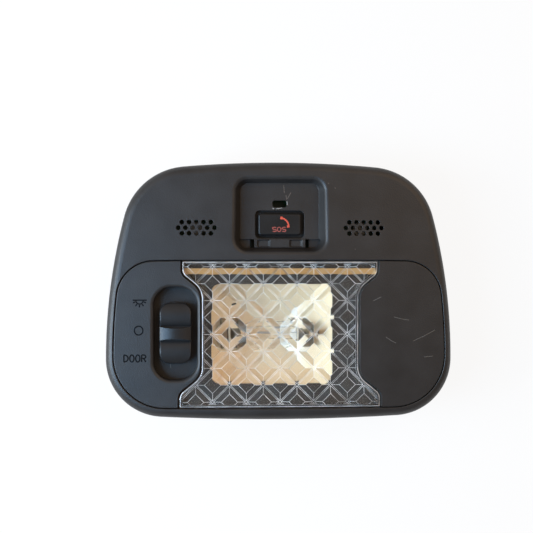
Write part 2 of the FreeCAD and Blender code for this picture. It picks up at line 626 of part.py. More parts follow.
def lens_panel():
    blank = prism(panel_outline(0), PLATE_TOP, FACE_Z + PAST).common(crown(0))
    blank = blank.makeFillet(EDGE_BREAK, upper_edges(blank, panel_outline(0)))
    blank = blank.cut(prism(well_outline(0), WELL_FLOOR_Z, FACE_Z + PAST))
    blank = blank.makeFillet(WELL_ROUNDING, upper_edges(blank, well_outline(0)))
    blank = blank.fuse(prism(panel_outline(-PANEL_FLANGE), COLLAR_Z - PANEL_FLANGE_HEIGHT, COLLAR_Z))

    inside = prism(panel_outline(PANEL_WALL), PLATE_TOP - PAST, FACE_Z).common(crown(WALL))
    beyond_ends = LENS_EDGE_MARGIN + PANEL_FLANGE + PAST
    lens_tub = prism(lens_outline(-LENS_GAP - LENS_TUB_WALL, -beyond_ends), WINDOW_Z, FACE_Z)
    well_tub = prism(well_outline(WELL_WALL), WELL_BACK_Z, FACE_Z)
    boss_x, boss_y = PANEL_BOSS
    bosses = both_sides(cylinder(boss_x, boss_y, BOSS_RADIUS, PLATE_TOP, FACE_Z))
    panel = blank.cut(inside.cut([lens_tub, well_tub] + bosses))

    slot_width = STEM + 2 * FIT
    slot_length = slot_width + 2 * SWITCH_TRAVEL
    cuts = [
        prism(lens_outline(-LENS_GAP, -beyond_ends), LENS_SEAT_Z, FACE_Z + PAST),
        prism(window_outline(0), WINDOW_Z - PAST, LENS_SEAT_Z + PAST),
        block(WELL_X, WELL_Y, slot_width, slot_length, WELL_BACK_Z - PAST, WELL_FLOOR_Z + PAST),
    ]
    cuts += screw_hole(PANEL_BOSS, TIGHT_FIT, PLATE_TOP - PAST, RIM_Z + SCREW_LENGTH)
    return one_solid(panel.cut(cuts))


def diamond(x, y, half, z):
    corners = [V(x + half, y, z), V(x, y + half, z), V(x - half, y, z), V(x, y - half, z)]
    return Part.makePolygon(corners + corners[:1])


def prism_pocket(x, y):
    """One cell of the lens: a four-sided pocket that narrows towards the front and ends in a flat."""
    mouth = diamond(x, y, PRISM_HALF - PRISM_BAR, LENS_BACK_Z)
    flat = diamond(x, y, PRISM_FLAT, LENS_BACK_Z + PRISM_DEPTH)
    return Part.makeLoft([mouth, flat], True, True)


def lens():
    outline = lens_outline(0, 0)
    blank = prism(outline, LENS_SEAT_Z, FACE_Z + PAST).common(crown(0))
    blank = blank.makeFillet(EDGE_BREAK, upper_edges(blank, outline))
    inner = lens_outline(LENS_RIM, LENS_RIM)
    blank = blank.cut(prism(inner, LENS_SEAT_Z - PAST, LENS_BACK_Z))
    field = prism(lens_outline(LENS_RIM, LENS_RIM), LENS_BACK_Z, FACE_Z)
    columns = int(LENS_BOTTOM_HALF / PRISM_HALF) + 1
    rows = int((LENS_TOP_Y - LENS_BOTTOM_Y) / 2 / PRISM_HALF) + 1
    pockets = []
    for column in range(-columns, columns + 1):
        for row in range(-rows, rows + 1):
            if (column + row) % 2 == 0:
                continue
            pocket = prism_pocket(column * PRISM_HALF, LENS_MID_Y + row * PRISM_HALF).common(field)
            pockets += pocket.Solids
    return one_solid(blank.cut(pockets))


def bowl(grow):
    """The bowl's inside, grown all round: what two crossing troughs and the window have in common."""
    depth = WINDOW_Z - REFLECTOR_LIP - REFLECTOR_FLOOR_Z
    length = 2 * (WINDOW_WIDTH + WINDOW_HEIGHT)
    shape = prism(window_outline(grow), REFLECTOR_FLOOR_Z - grow - PAST, WINDOW_Z)
    for half, axis in ((WINDOW_WIDTH / 2, V(0, 1, 0)), (WINDOW_HEIGHT / 2, V(1, 0, 0))):
        radius = (half ** 2 + depth ** 2) / (2 * depth)
        centre = V(WINDOW_SHIFT, LENS_MID_Y, REFLECTOR_FLOOR_Z + radius)
        shape = shape.common(Part.makeCylinder(radius + grow, length, centre - axis * (length / 2), axis))
    return shape


def reflector():
    """Open bowl with a flange under the light window, four feet and slots for the bulb's contacts."""
    flange = prism(window_outline(REFLECTOR_FLANGE), WINDOW_Z - REFLECTOR_WALL, WINDOW_Z)
    adds = [flange]
    foot_top = REFLECTOR_FLOOR_Z + (WINDOW_Z - REFLECTOR_FLOOR_Z) / 4
    for side_x in (-1, 1):
        for side_y in (-1, 1):
            x = WINDOW_SHIFT + side_x * WINDOW_WIDTH / 4
            y = LENS_MID_Y + side_y * WINDOW_HEIGHT / 4
            adds.append(cylinder(x, y, REFLECTOR_FOOT_RADIUS, TRAY_WALL, foot_top))
    cuts = [bowl(0)]
    for side in (-1, 1):
        x = BULB_X + side * CONTACT_REACH
        cuts.append(block(x, LENS_MID_Y, STRIP + 2 * FIT, CONTACT_WIDTH + 2 * FIT, TRAY_WALL, CONTACT_TOP))
    return one_solid(bowl(REFLECTOR_WALL).fuse(adds).cut(cuts))


def bulb_contact(side):
    """Stamped strip that stands on the tray floor and holds one end of the bulb in its eye."""
    x = BULB_X + side * CONTACT_REACH
    floor = TRAY_WALL
    upright = block(x, LENS_MID_Y, STRIP, CONTACT_WIDTH, floor, CONTACT_TOP)
    eye_start = V(x - 2 * STRIP, LENS_MID_Y, BULB_Z)
    eye = Part.makeCylinder(CONTACT_EYE_RADIUS, 4 * STRIP, eye_start, V(1, 0, 0))
    foot_end = side * (LAMP_TRAY_HALF - TRAY_WALL - CONTACT_FOOT_MARGIN)
    foot = block((x + foot_end) / 2, LENS_MID_Y, abs(foot_end - x), CONTACT_FOOT_WIDTH, floor, floor + STRIP)
    return one_solid(upright.cut(eye).fuse(foot))


def turned(points):
    """Solid turned round the bulb's axis from an outline of distances along and from the axis."""
    outline = [V(along, away, 0) for along, away in points]
    solid = Part.Face(Part.makePolygon(outline + outline[:1])).revolve(V(0, 0, 0), V(1, 0, 0), 360)
    solid.translate(V(BULB_X, LENS_MID_Y, BULB_Z))
    return solid


def bulb_caps():
    caps = []
    end = BULB_LENGTH / 2
    for side in (-1, 1):
        caps.append(turned([
            (side * (end - CAP_LENGTH), 0), (side * (end - CAP_LENGTH), CAP_RADIUS),
            (side * (end - CAP_TAPER), CAP_RADIUS), (side * end, CAP_TIP_RADIUS), (side * end, 0)]))
    return Part.makeCompound(caps)


def bulb_tube(radius, half):
    neck = radius - BULB_NECK
    shoulder = half - BULB_NECK_LENGTH
    return turned([
        (-half, 0), (-half, neck), (-shoulder, radius), (shoulder, radius), (half, neck), (half, 0)])


def bulb_glass():
    """Closed tube with necked ends, thin enough to see into."""
    half = BULB_LENGTH / 2 - CAP_LENGTH
    outside = bulb_tube(BULB_RADIUS, half)
    return one_solid(outside.cut(bulb_tube(BULB_RADIUS - BULB_GLASS, half - BULB_GLASS)))


def bulb_filament():
    half = BULB_LENGTH / 2 - CAP_LENGTH - BULB_GLASS
    wire = turned([(-half, 0), (-half, FILAMENT_RADIUS), (half, FILAMENT_RADIUS), (half, 0)])
    coil = turned([(-half / 2, 0), (-half / 2, COIL_RADIUS), (half / 2, COIL_RADIUS), (half / 2, 0)])
    return one_solid(wire.fuse(coil))


def knob_lobes(base):
    """The two lobes, drawn from the side: each is one bow from the knob's end to the ridge."""
    half = KNOB_LENGTH / 2
    ridge = RIDGE_WIDTH / 2
    edges = [Part.LineSegment(V(0, -half, base), V(0, half, base)).toShape()]
    for side in (-1, 1):
        corner = V(0, side * half, base)
        end = V(0, side * half, base + KNOB_END_HEIGHT)
        hump = V(0, side * (half + ridge) / 2, base + KNOB_LOBE_HEIGHT)
        foot = V(0, side * ridge, base + KNOB_VALLEY_HEIGHT)
        edges.append(Part.LineSegment(corner, end).toShape())
        edges.append(Part.Arc(end, hump, foot).toShape())
    valley = base + KNOB_VALLEY_HEIGHT
    edges.append(Part.LineSegment(V(0, -ridge, valley), V(0, ridge, valley)).toShape())
    side_view = Part.Wire(Part.sortEdges(edges)[0])
    side_view.translate(V(WELL_X - KNOB_WIDTH / 2, WELL_Y, 0))
    return Part.Face(side_view).extrude(V(KNOB_WIDTH, 0, 0))


def knob_ridge(base, top):
    """Finger ridge across the knob, waisted by a round cut on either side."""
    ridge = block(WELL_X, WELL_Y, KNOB_WIDTH, RIDGE_WIDTH, base, top)
    waist_radius = (KNOB_WIDTH ** 2 / 4 + RIDGE_WAIST ** 2) / (2 * RIDGE_WAIST)
    reach = RIDGE_WIDTH / 2 - RIDGE_WAIST + waist_radius
    valley = base + KNOB_VALLEY_HEIGHT
    waists = [cylinder(WELL_X, WELL_Y + side * reach, waist_radius, valley, top + PAST) for side in (-1, 1)]
    return ridge.cut(waists)


def switch_knob():
    base = WELL_FLOOR_Z + FIT
    top = base + KNOB_HEIGHT
    plan = rounded_rect(WELL_X, WELL_Y, KNOB_WIDTH, KNOB_LENGTH, KNOB_RADIUS)
    body = knob_lobes(base).fuse(knob_ridge(base, top)).common(prism(plan, base, top + PAST))
    crown_start = V(WELL_X, WELL_Y - KNOB_LENGTH, top - KNOB_CROWN_RADIUS)
    body = body.common(Part.makeCylinder(KNOB_CROWN_RADIUS, 2 * KNOB_LENGTH, crown_start, V(0, 1, 0)))
    stem = block(WELL_X, WELL_Y, STEM, STEM, CARRIER_TOP, base)
    knob = one_solid(body.fuse(stem))
    return knob.makeFillet(KNOB_ROUNDING, upper_edges(knob, plan, base + KNOB_END_HEIGHT / 2))


def switch_carrier():
    return block(WELL_X, WELL_Y, CARRIER_WIDTH, CARRIER_LENGTH, CARRIER_BOTTOM, CARRIER_TOP)


def switch_contact():
    """Bridge under the carrier, long enough to join two neighbouring pads."""
    width = CARRIER_WIDTH - 2 * CARRIER_LIP
    length = SWITCH_TRAVEL + BRIDGE_LAP
    return block(WELL_X, WELL_Y, width, length, CARRIER_BOTTOM - BRIDGE_THICKNESS, CARRIER_BOTTOM)


def terminal_places():
    return [WELL_Y + step * SWITCH_TRAVEL for step in (-1, 0, 1)]


def terminal_tail(y, play):
    width = TERMINAL_WIDTH + 2 * play
    thickness = TERMINAL_THICKNESS + 2 * play
    return block(WELL_X, y, width, thickness, SWITCH_BASE_Z - WELL_WALL - TERMINAL_TAIL, SWITCH_BASE_Z)


def switch_base():
    """Cup behind the well, with a slot in its floor for each terminal."""
    outer_length = SWITCH_SPACE_LENGTH + 2 * WELL_WALL
    cup = rounded_block(
        WELL_X, WELL_Y, 2 * SWITCH_BASE_HALF, outer_length, SWITCH_BASE_RADIUS,
        SWITCH_BASE_Z - WELL_WALL, WELL_BACK_Z)
    space = block(WELL_X, WELL_Y, SWITCH_SPACE_WIDTH, SWITCH_SPACE_LENGTH, SWITCH_BASE_Z, WELL_BACK_Z + PAST)
    return one_solid(cup.cut([space] + [terminal_tail(y, TIGHT_FIT) for y in terminal_places()]))


def switch_terminals():
    solids = []
    for y in terminal_places():
        pad = block(
            WELL_X, y, CARRIER_WIDTH - 2 * CARRIER_LIP, SWITCH_TRAVEL / 2, SWITCH_BASE_Z, TERMINAL_TOP)
        solids.append(one_solid(pad.fuse(terminal_tail(y, 0))))
    return Part.makeCompound(solids)


def call_button():
    """Key with a rounded top, a flange that keeps it behind the floor, and a stem on the plunger."""
    flange_low = BUTTON_FLANGE_Z - BUTTON_FLANGE
    key = rounded_block(0, BUTTON_Y, BUTTON_LENGTH, BUTTON_WIDTH, BUTTON_RADIUS, flange_low, BUTTON_TOP_Z)
    top_edges = [edge for edge in key.Edges if edge.BoundBox.ZMin > BUTTON_FLANGE_Z]
    key = key.makeFillet(BUTTON_ROUNDING, top_edges)
    spread = 2 * BUTTON_GAP + 2 * BUTTON_FLANGE_LAP
    flange = rounded_block(
        0, BUTTON_Y, BUTTON_LENGTH + spread, BUTTON_WIDTH + spread, BUTTON_HOLE_RADIUS,
        flange_low, BUTTON_FLANGE_Z)
    stem = cylinder(0, BUTTON_Y, BUTTON_STEM_RADIUS, PLUNGER_TOP, BUTTON_FLANGE_Z)
    return one_solid(key.fuse([flange, stem]))


def call_switch():
    body = block(0, BUTTON_Y, CALL_SWITCH_SIZE, CALL_SWITCH_SIZE, BOARD_TOP, CALL_SWITCH_TOP)
    guide_floor = CALL_SWITCH_TOP - PLUNGER_HOLD - PRESS_TRAVEL - PLUNGER_CLEARANCE
    guide = cylinder(0, BUTTON_Y, PLUNGER_RADIUS + FIT, guide_floor, CALL_SWITCH_TOP + PAST)
    return one_solid(body.cut(guide))


def call_plunger():
    return cylinder(0, BUTTON_Y, PLUNGER_RADIUS, CALL_SWITCH_TOP - PLUNGER_HOLD, PLUNGER_TOP)


def call_indicator():
    x = BUTTON_LENGTH / 2 - INDICATOR_INSET
    return block(x, BUTTON_Y, INDICATOR_WIDTH, INDICATOR_LENGTH, BOARD_TOP, BOARD_TOP + INDICATOR_HEIGHT)


def circuit_board():
    height = BOARD_TOP_Y - BOARD_BOTTOM_Y
    return rounded_block(0, BOARD_MID_Y, 2 * BOARD_HALF, height, BOARD_RADIUS, BOARD_BOTTOM, BOARD_TOP)


def microphone(side):
    top = BOARD_TOP + MICROPHONE_HEIGHT
    return cylinder(side * GRILLE_OFFSET, GRILLE_Y, MICROPHONE_RADIUS, BOARD_TOP, top)


def microphone_boot(side):
    """Rubber sleeve from the board to the grille's collar."""
    x = side * GRILLE_OFFSET
    boot = grille_stadium(x, BOOT_MARGIN + BOOT_WALL, BOARD_TOP, GRILLE_SEAT_Z)
    return one_solid(boot.cut(grille_stadium(x, BOOT_MARGIN, BOARD_TOP - PAST, GRILLE_SEAT_Z + PAST)))


def socket_pin(place, play):
    pitch = (SOCKET_LENGTH - 2 * SOCKET_WALL - 2 * SOCKET_PIN_MARGIN) / (SOCKET_PINS - 1)
    x = SOCKET_X + (place - (SOCKET_PINS - 1) / 2) * pitch
    size = PIN_THICKNESS + 2 * play
    return block(x, BOARD_MID_Y, size, size, SOCKET_MOUTH_Z + SOCKET_PIN_RECESS, BOARD_BOTTOM)


def connector_shell():
    """Socket that opens away from the lamp's back, with a notch for the plug's latch."""
    shell = rounded_block(
        SOCKET_X, BOARD_MID_Y, SOCKET_LENGTH, SOCKET_WIDTH, SOCKET_RADIUS, SOCKET_MOUTH_Z, BOARD_BOTTOM)
    space = rounded_block(
        SOCKET_X, BOARD_MID_Y, SOCKET_LENGTH - 2 * SOCKET_WALL, SOCKET_WIDTH - 2 * SOCKET_WALL,
        SOCKET_INNER_RADIUS, SOCKET_MOUTH_Z - PAST, BOARD_BOTTOM - SOCKET_FLOOR)
    latch = block(
        SOCKET_X, BOARD_MID_Y + SOCKET_WIDTH / 2, LATCH_WIDTH, 2 * SOCKET_WALL + FIT,
        SOCKET_MOUTH_Z - PAST, SOCKET_MOUTH_Z + LATCH_DEPTH)
    pin_slots = [socket_pin(place, TIGHT_FIT) for place in range(SOCKET_PINS)]
    return one_solid(shell.cut([space, latch] + pin_slots))


def connector_pins():
    return Part.makeCompound([socket_pin(place, 0) for place in range(SOCKET_PINS)])


def lamp_tray(inset, z0, z1):
    middle = (LAMP_TRAY_BOTTOM_Y + LAMP_TRAY_TOP_Y) / 2
    width = 2 * (LAMP_TRAY_HALF - inset)
    height = LAMP_TRAY_TOP_Y - LAMP_TRAY_BOTTOM_Y - 2 * inset
    return rounded_block(0, middle, width, height, TRAY_RADIUS - inset, z0, z1)


def call_tray(inset, z0, z1):
    middle = (CALL_TRAY_BOTTOM_Y + CALL_TRAY_TOP_Y) / 2
    width = 2 * (CALL_TRAY_HALF - inset)
    height = CALL_TRAY_TOP_Y - CALL_TRAY_BOTTOM_Y - 2 * inset
    return rounded_block(0, middle, width, height, TRAY_RADIUS - inset, z0, z1)


def board_posts():
    posts = []
    offset_y = BOARD_TOP_Y - BOARD_MID_Y - POST_INSET
    for y in (BOARD_MID_Y - offset_y, BOARD_MID_Y + offset_y):
        posts += both_sides(cylinder(BOARD_HALF - POST_INSET, y, POST_RADIUS, CALL_TRAY_Z, BOARD_BOTTOM))
    return posts


def tray_ribs():
    """Pairs of ribs behind the plate, beside the lamp tray and below it."""
    ribs = []
    low = RIM_Z - RIB_DEPTH
    for offset in (-RIB_SPACING / 2, RIB_SPACING / 2):
        ribs += both_sides(block(LAMP_TRAY_HALF, LENS_MID_Y + offset, 2 * RIB_REACH, RIB, low, RIM_Z))
        ribs.append(block(offset, LAMP_TRAY_BOTTOM_Y, RIB, 2 * RIB_REACH, low, RIM_Z))
    return ribs


def tray_vents():
    vents = []
    for i in range(VENT_COUNT):
        x = BULB_X + (i - (VENT_COUNT - 1) / 2) * VENT_PITCH
        vents.append(block(x, LENS_MID_Y, VENT_WIDTH, VENT_LENGTH, -PAST, TRAY_WALL + PAST))
    return vents


def lamp_housing():
    """Plate with a deep tray for the bulb, a shallow one for the board, two pins and two blades."""
    plate = prism(bezel_outline(WALL + FIT), RIM_Z, PLATE_TOP)
    adds = [lamp_tray(0, 0, PLATE_TOP), call_tray(0, CALL_TRAY_Z, PLATE_TOP)]
    pin_top_y = (CALL_TRAY_TOP_Y + TOP_Y - WALL) / 2 + PIN_RISE
    pin_bottom_y = (LAMP_TRAY_BOTTOM_Y + BOTTOM_Y + WALL) / 2
    adds += [cylinder(0, y, PIN_RADIUS, RIM_Z - PIN_LENGTH, RIM_Z) for y in (pin_top_y, pin_bottom_y)]
    adds += both_sides(block(BLADE_X, LENS_MID_Y, BLADE, BLADE_WIDTH, RIM_Z - BLADE_LENGTH, RIM_Z))
    adds += tray_ribs()

    wall = TRAY_WALL
    cuts = [lamp_tray(wall, wall, PLATE_TOP + PAST), call_tray(wall, CALL_TRAY_Z + wall, PLATE_TOP + PAST)]
    cuts += tray_vents()
    for place in (SIDE_BOSS, TOP_BOSS, PANEL_BOSS):
        cuts += screw_hole(place, 2 * TIGHT_FIT, RIM_Z - PAST, PLATE_TOP + PAST)
    socket_length = SOCKET_LENGTH + 2 * FIT
    socket_width = SOCKET_WIDTH + 2 * FIT
    cuts.append(block(
        SOCKET_X, BOARD_MID_Y, socket_length, socket_width, CALL_TRAY_Z - PAST, CALL_TRAY_Z + wall + PAST))
    return one_solid(plate.fuse(adds).cut(cuts).fuse(board_posts()))


def spring_clip(side):
    """U of spring steel over the tip of a blade, with a barb on either leg."""
    steel = CLIP_STEEL
    half = BLADE / 2 + TIGHT_FIT
    tip = RIM_Z - BLADE_LENGTH - TIGHT_FIT
    barb = half + BARB_REACH
    barb_z = RIM_Z - BARB_DROP
    leg = half + LEG_SPREAD
    leg_z = RIM_Z - CLIP_LEG_GAP
    right = [
        (half, tip), (half, barb_z + steel), (barb - steel, barb_z), (leg, leg_z),
        (leg + steel, leg_z), (barb, barb_z - steel),
        (half + steel, tip + BARB_RISE), (half + steel, tip - steel),
    ]
    left = [(-x, z) for x, z in reversed(right)]
    start = LENS_MID_Y - BLADE_WIDTH / 2 + CLIP_MARGIN
    points = [V(side * (BLADE_X + x), start, z) for x, z in left + right]
    return Part.Face(Part.makePolygon(points + points[:1])).extrude(V(0, BLADE_WIDTH - 2 * CLIP_MARGIN, 0))


def housing_screws():
    solids = []
    for x, y in (SIDE_BOSS, TOP_BOSS, PANEL_BOSS):
        head = cylinder(x, y, SCREW_HEAD_RADIUS, RIM_Z - SCREW_HEAD_HEIGHT, RIM_Z)
        shank = cylinder(x, y, SCREW_RADIUS, RIM_Z, RIM_Z + SCREW_LENGTH - SCREW_TIP_GAP)
        solids += both_sides(one_solid(head.fuse(shank)))
    return Part.makeCompound(solids)


PIECES = {
    "bezel": bezel(),
    "lens_panel": lens_panel(),
    "lens": lens(),
    "reflector": reflector(),
    "bulb_glass": bulb_glass(),
    "bulb_caps": bulb_caps(),
    "bulb_filament": bulb_filament(),
    "bulb_contact_left": bulb_contact(-1),
    "bulb_contact_right": bulb_contact(1),
    "switch_knob": switch_knob(),
    "switch_carrier": switch_carrier(),
    "switch_contact": switch_contact(),
    "switch_base": switch_base(),
    "switch_terminals": switch_terminals(),
    "call_button": call_button(),
    "call_switch": call_switch(),
    "call_plunger": call_plunger(),
    "call_indicator": call_indicator(),
    "circuit_board": circuit_board(),
    "microphone_left": microphone(-1),
    "microphone_right": microphone(1),
    "microphone_boot_left": microphone_boot(-1),
    "microphone_boot_right": microphone_boot(1),
    "connector_shell": connector_shell(),
    "connector_pins": connector_pins(),
    "lamp_housing": lamp_housing(),
    "clip_left": spring_clip(-1),
    "clip_right": spring_clip(1),
    "housing_screws": housing_screws(),
}

os.makedirs("parts", exist_ok=True)
for name, piece in PIECES.items():
    piece.exportStep("parts/" + name + ".step")
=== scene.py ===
import json
import math

import bpy
from mathutils import Matrix, Vector
from mathutils.bvhtree import BVHTree


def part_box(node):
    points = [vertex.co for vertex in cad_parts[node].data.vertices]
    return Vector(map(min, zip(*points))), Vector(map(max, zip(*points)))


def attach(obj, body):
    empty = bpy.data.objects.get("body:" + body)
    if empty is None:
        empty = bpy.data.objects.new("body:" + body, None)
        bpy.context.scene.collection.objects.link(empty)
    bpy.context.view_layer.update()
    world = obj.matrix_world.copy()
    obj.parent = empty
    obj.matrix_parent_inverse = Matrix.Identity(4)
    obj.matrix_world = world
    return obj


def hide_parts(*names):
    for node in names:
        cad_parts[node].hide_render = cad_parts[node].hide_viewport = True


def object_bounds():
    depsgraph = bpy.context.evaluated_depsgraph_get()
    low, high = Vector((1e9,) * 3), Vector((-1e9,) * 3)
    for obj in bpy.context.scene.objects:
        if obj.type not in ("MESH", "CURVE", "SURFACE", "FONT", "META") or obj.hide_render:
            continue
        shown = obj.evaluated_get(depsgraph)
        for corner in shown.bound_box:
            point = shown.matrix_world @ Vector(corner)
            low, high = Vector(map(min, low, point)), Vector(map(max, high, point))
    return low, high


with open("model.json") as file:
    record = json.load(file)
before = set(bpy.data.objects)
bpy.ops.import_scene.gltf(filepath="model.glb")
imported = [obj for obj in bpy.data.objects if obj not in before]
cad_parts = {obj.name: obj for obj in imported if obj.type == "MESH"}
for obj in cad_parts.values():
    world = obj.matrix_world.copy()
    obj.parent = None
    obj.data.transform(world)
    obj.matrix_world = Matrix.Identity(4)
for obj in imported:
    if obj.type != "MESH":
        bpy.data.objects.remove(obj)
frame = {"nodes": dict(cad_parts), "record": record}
cad_low, cad_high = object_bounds()
nodes = frame["nodes"]
scene = bpy.context.scene
MM = 0.001

# The photograph's frame and the place of the lamp's middle in it, in pixels
IMAGE_SIZE = 533
LAMP_PX = (279.5, 290.75)
MM_PER_PX = 0.43466

# Camera: the height at which the photograph is scaled, the distance from there, and the lean to the left
SCALE_HEIGHT = 29 * MM
CAMERA_DISTANCE = 480 * MM
CAMERA_LEFT = math.radians(3.0)
SENSOR_WIDTH = 36.0
CLIP_START = 0.01
CLIP_END = 50

# Floor and backdrop
FLOOR_HALF = 6.0
FLOOR_GAP = 0.02 * MM
BACKDROP_HEIGHT = 1.8
FLOOR_GREY = 0.9
FLOOR_ROUGHNESS = 0.9
FLOOR_GLOW_SHARE = 0.9         # how much of the floor is seen as plain white

# Light
LIGHT_TARGET = (0, 0, 0.03)
ROOM_COLOR = (1.0, 0.80, 0.62)
ROOM_STRENGTH = 0.27

# Moulded plastic: radius along every edge, grain, and the clouds of uneven tone and sheen
MOULDED_EDGE = 0.25 * MM
MOULDED_EDGE_SAMPLES = 4
GRAIN_STRENGTH = 0.6
CLOUD_SCALE = 90
CLOUD_DETAIL = 4
TONE_RANGE = (0.3, 0.75)
TONE_LIFT = 0.01
SHEEN_RANGE = (-0.04, 0.06)    # added to the roughness

# Rounded edges of the lens, made pale and less clear as painted highlights: the cosine of the normal's
# turn, and how clear the plastic is there
EDGE_STEPS = ((0.94, 0.95), (0.965, 0.0), (0.996, 0.0), (0.9998, 1.0))
EDGE_SAMPLES = 8
EDGE_FADE = (0.1, 0.7)         # how clear the lines are at least, which varies from place to place
FADE_SCALE = 160
FADE_RANGE = (0.35, 0.65)

# Warm strip behind the lens, a painted warm reflection across the lens' top: two corners in pixels, and the
# height of the lens' back above its lower edge
BAND_TOP_LEFT = (184.5, 268.4)
BAND_BOTTOM_RIGHT = (375.0, 274.2)
BAND_THICKNESS = 0.15 * MM
LENS_RIM_HEIGHT = 3.5 * MM

# Pads sunk in the hinge bar, in the lamp's frame: middle of the right one, half their size, top of the bar,
# their rise in the solid, their depth here, and the share of their size that is left at the bottom
PAD_MIDDLE = (7.0 * MM, 20.55 * MM)
PAD_HALF = (3.0 * MM, 1.7 * MM)
BAR_TOP = 31.0 * MM
PAD_RISE = 0.7 * MM
PAD_SINK = 0.8 * MM
PAD_BOTTOM_SHARE = (0.74, 0.8)

# Switch legends on the panel, in pixels: the lamp sign, the ring and the word
LAMP_SIGN = (139.5, 300.4)
LAMP_SIGN_BASE = ((132.6, 300.2), (146.8, 300.2))
LAMP_SIGN_RADIUS = 3.7
LAMP_SIGN_RAY_ANGLES = (200, 235, 270, 305, 340)
LAMP_SIGN_RAY_REACH = (4.6, 7.0)
RING_SIGN = (138.6, 330.6)
RING_SIGN_RADII = (4.3, 4.4)
DOOR_CORNER = (123.9, 355.0)
DOOR_LETTER = (4.2, 7.0)
DOOR_PITCH = 5.9
LEGEND_LINE = 0.58 * MM

# Mark and letters on the call key, in pixels
HANDSET = (279.5, 226.8)
HANDSET_RADIUS = 9.2
HANDSET_ANGLES = (0, 79)
HANDSET_ENDS = (((281.6, 216.7), (281.4, 219.3)), ((289.4, 226.2), (287.0, 226.6)))
HANDSET_LINE = 0.66 * MM
HANDSET_END_LINE = 1.0 * MM
HANDSET_END_HEIGHT = 0.05 * MM
SOS_CORNER = (272.6, 227.2)
SOS_LETTER = (3.6, 4.4)
SOS_PITCH = 4.8
SOS_LINE = 0.38 * MM

# Wear and dirt, each as the pixels along a line
PANEL_SCRATCHES = (
    ((373, 301), (381, 297)),
    ((394, 317), (402, 319), (409, 320)),
    ((386, 337), (391, 340.5), (396, 343)),
    ((413, 341), (424, 336), (435, 330)),
    ((424, 357), (433, 356)),
    ((170.4, 364), (170.8, 368)),
)
BEZEL_SCRATCHES = (
    ((283.6, 185), (284.4, 193)),
    ((287.2, 199), (291, 192.5)),
    ((286, 195), (286.6, 199.5)),
    ((335, 187.4), (335.4, 188.6)),
    ((328, 183), (328.8, 183.8)),
    ((355, 249), (355.6, 249.4)),
)
CATCH_CHIPS = (
    ((272.2, 208.2), (274.4, 208.6)),
    ((276.2, 208.8), (282.2, 208.0)),
    ((286.9, 201.2), (287.4, 205.4)),
)
LENS_SPECK = ((231.6, 304.8), (234, 304.0), (236.2, 303.4))
PANEL_SCRATCH_LINE = 0.2 * MM
BEZEL_SCRATCH_LINE = 0.3 * MM
SCRATCH_HEIGHT = 0.015 * MM
CHIP_LINE = 0.4 * MM
CHIP_HEIGHT = 0.03 * MM
SPECK_LINE = 0.8 * MM
SPECK_HEIGHT = 0.02 * MM
PRINT_HEIGHT = 0.04 * MM

# Materials of the record's slots
GRAINED_LOOKS = {
    "trim_plastic": {
        "color": (0.0165, 0.015, 0.0142), "roughness": 0.46,
        "grain_size": 0.5 * MM, "grain_depth": 0.07 * MM, "wear": 0.3},
    "knob_plastic": {
        "color": (0.011, 0.011, 0.0115), "roughness": 0.4, "specular": 0.42,
        "grain_size": 0.4 * MM, "grain_depth": 0.015 * MM, "wear": 0.2},
    "key_plastic": {
        "color": (0.007, 0.007, 0.007), "roughness": 0.42, "specular": 0.4,
        "grain_size": 0.4 * MM, "grain_depth": 0.01 * MM, "wear": 0.2},
    "housing_plastic": {
        "color": (0.035, 0.035, 0.036), "roughness": 0.5,
        "grain_size": 0.6 * MM, "grain_depth": 0.03 * MM, "wear": 0.2},
}
CLEAR_LOOKS = {
    "lens_clear": {
        "color": (0.97, 0.95, 0.92), "roughness": 0.06, "ior": 1.49,
        "edge": 0.24 * MM, "shade": 0.92},
    "bulb_glass": {"color": (0.98, 0.98, 0.98), "roughness": 0.0, "ior": 1.2},
}
PLAIN_LOOKS = {
    "reflector_white": {"color": (0.80, 0.65, 0.45), "roughness": 0.2, "specular": 1.0},
    "pale_plastic": {"color": (0.68, 0.64, 0.54), "roughness": 0.5},
    "indicator_lens": {"color": (0.75, 0.2, 0.05), "roughness": 0.2},
    "board": {"color": (0.01, 0.09, 0.03), "roughness": 0.3},
    "boot_rubber": {"color": (0.008, 0.008, 0.008), "roughness": 0.75},
    "nickel": {"color": (0.26, 0.255, 0.24), "roughness": 0.35, "metallic": 1.0},
    "tungsten": {"color": (0.45, 0.44, 0.42), "roughness": 0.5, "metallic": 1.0},
    "brass": {"color": (0.50, 0.44, 0.34), "roughness": 0.5, "metallic": 1.0},
    "spring_steel": {"color": (0.30, 0.30, 0.31), "roughness": 0.35, "metallic": 1.0},
    "zinc": {"color": (0.50, 0.50, 0.47), "roughness": 0.38, "metallic": 1.0},
}


def at_px(x, y):
    """Place on the face, in metres, of a pixel of the photograph."""
    return (x - LAMP_PX[0]) * MM_PER_PX * MM, (LAMP_PX[1] - y) * MM_PER_PX * MM


def new_material(name):
    made = bpy.data.materials.new(name)
    made.use_nodes = True
    return made, made.node_tree.nodes, made.node_tree.links


def plain(name, color, roughness, metallic=0.0, specular=0.5):
    made, tree, _ = new_material(name)
    shader = tree["Principled BSDF"]
    shader.inputs["Base Color"].default_value = (*color, 1)
    shader.inputs["Roughness"].default_value = roughness
    shader.inputs["Metallic"].default_value = metallic
    shader.inputs["Specular IOR Level"].default_value = specular
    return made


